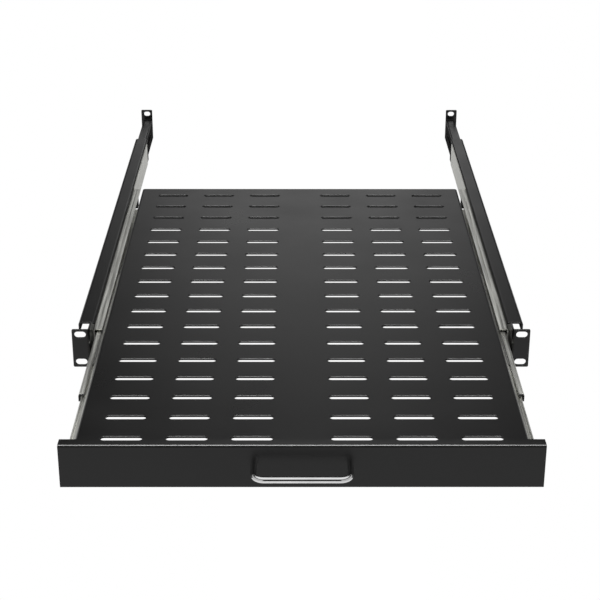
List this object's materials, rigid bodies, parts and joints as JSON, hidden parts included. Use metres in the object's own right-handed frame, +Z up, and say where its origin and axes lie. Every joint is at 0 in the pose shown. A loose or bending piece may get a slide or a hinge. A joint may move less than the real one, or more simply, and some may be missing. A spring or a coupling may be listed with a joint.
{
  "type": "sliding rack shelf",
  "caption": "Vented sheet-steel rack shelf on telescopic ball slides, with a bow handle on its front panel and depth-adjustable rails whose slotted ears bolt to a rack's posts.",
  "frame": {"origin": "middle of the four front ear slots, on the ears' seating face", "axes": "+X to the right seen from the front, +Y to the rear, +Z up"},
  "size_m": [0.4826, 1.062, 0.0436],
  "materials": {
    "powder_coat": "fine-textured satin black powder coat",
    "chrome": "polished chrome",
    "zinc_slide": "bright zinc plate, rolled along its length",
    "zinc_screw": "zinc plate",
    "cage_steel": "pressed strip, lightly greased",
    "ball_steel": "polished balls",
    "rubber_stop": "matt rubber"
  },
  "bodies": {
    "rails": {"left_front_bracket": "powder_coat", "right_front_bracket": "powder_coat", "left_adjust_studs": "zinc_screw", "right_adjust_studs": "zinc_screw", "left_adjust_nuts": "zinc_screw", "right_adjust_nuts": "zinc_screw", "left_outer_member": "zinc_slide", "right_outer_member": "zinc_slide", "left_outer_upper_lip": "zinc_slide", "right_outer_upper_lip": "zinc_slide", "left_outer_lower_lip": "zinc_slide", "right_outer_lower_lip": "zinc_slide", "left_outer_rivets": "zinc_screw", "right_outer_rivets": "zinc_screw", "left_bumper": "rubber_stop", "right_bumper": "rubber_stop"},
    "shelf": {"tray": "powder_coat", "handle": "chrome", "handle_screws": "zinc_screw", "left_inner_member": "zinc_slide", "right_inner_member": "zinc_slide", "left_inner_upper_lip": "zinc_slide", "right_inner_upper_lip": "zinc_slide", "left_inner_lower_lip": "zinc_slide", "right_inner_lower_lip": "zinc_slide", "left_inner_screws": "zinc_screw", "right_inner_screws": "zinc_screw"},
    "left_intermediate": {"left_intermediate_member": "zinc_slide", "left_intermediate_upper_lip": "zinc_slide", "left_intermediate_lower_lip": "zinc_slide"},
    "left_outer_bearing": {"left_outer_cage": "cage_steel", "left_outer_balls": "ball_steel"},
    "left_inner_bearing": {"left_inner_cage": "cage_steel", "left_inner_balls": "ball_steel"},
    "left_rear": {"left_rear_bracket": "powder_coat"},
    "right_intermediate": {"right_intermediate_member": "zinc_slide", "right_intermediate_upper_lip": "zinc_slide", "right_intermediate_lower_lip": "zinc_slide"},
    "right_outer_bearing": {"right_outer_cage": "cage_steel", "right_outer_balls": "ball_steel"},
    "right_inner_bearing": {"right_inner_cage": "cage_steel", "right_inner_balls": "ball_steel"},
    "right_rear": {"right_rear_bracket": "powder_coat"}
  },
  "joints": [
    {"name": "shelf_slide", "type": "slide", "parent": "rails", "child": "shelf", "axis": [0, -1, 0], "range_m": [-0.245, 0.205]},
    {"name": "left_intermediate_slide", "type": "slide", "parent": "rails", "child": "left_intermediate", "axis": [0, -1, 0], "range_m": [-0.1225, 0.1025]},
    {"name": "left_outer_bearing_slide", "type": "slide", "parent": "rails", "child": "left_outer_bearing", "axis": [0, -1, 0], "range_m": [-0.06125, 0.05125]},
    {"name": "left_inner_bearing_slide", "type": "slide", "parent": "rails", "child": "left_inner_bearing", "axis": [0, -1, 0], "range_m": [-0.18375, 0.15375]},
    {"name": "left_rear_depth", "type": "slide", "parent": "rails", "child": "left_rear", "axis": [0, 1, 0], "range_m": [-0.1, 0.06]},
    {"name": "right_intermediate_slide", "type": "slide", "parent": "rails", "child": "right_intermediate", "axis": [0, -1, 0], "range_m": [-0.1225, 0.1025]},
    {"name": "right_outer_bearing_slide", "type": "slide", "parent": "rails", "child": "right_outer_bearing", "axis": [0, -1, 0], "range_m": [-0.06125, 0.05125]},
    {"name": "right_inner_bearing_slide", "type": "slide", "parent": "rails", "child": "right_inner_bearing", "axis": [0, -1, 0], "range_m": [-0.18375, 0.15375]},
    {"name": "right_rear_depth", "type": "slide", "parent": "rails", "child": "right_rear", "axis": [0, 1, 0], "range_m": [-0.1, 0.06]}
  ],
  "couplings": [
    {"joint": "left_intermediate_slide", "follows": "shelf_slide", "ratio": 0.5},
    {"joint": "left_outer_bearing_slide", "follows": "shelf_slide", "ratio": 0.25},
    {"joint": "left_inner_bearing_slide", "follows": "shelf_slide", "ratio": 0.75},
    {"joint": "right_intermediate_slide", "follows": "shelf_slide", "ratio": 0.5},
    {"joint": "right_outer_bearing_slide", "follows": "shelf_slide", "ratio": 0.25},
    {"joint": "right_inner_bearing_slide", "follows": "shelf_slide", "ratio": 0.75}
  ]
}
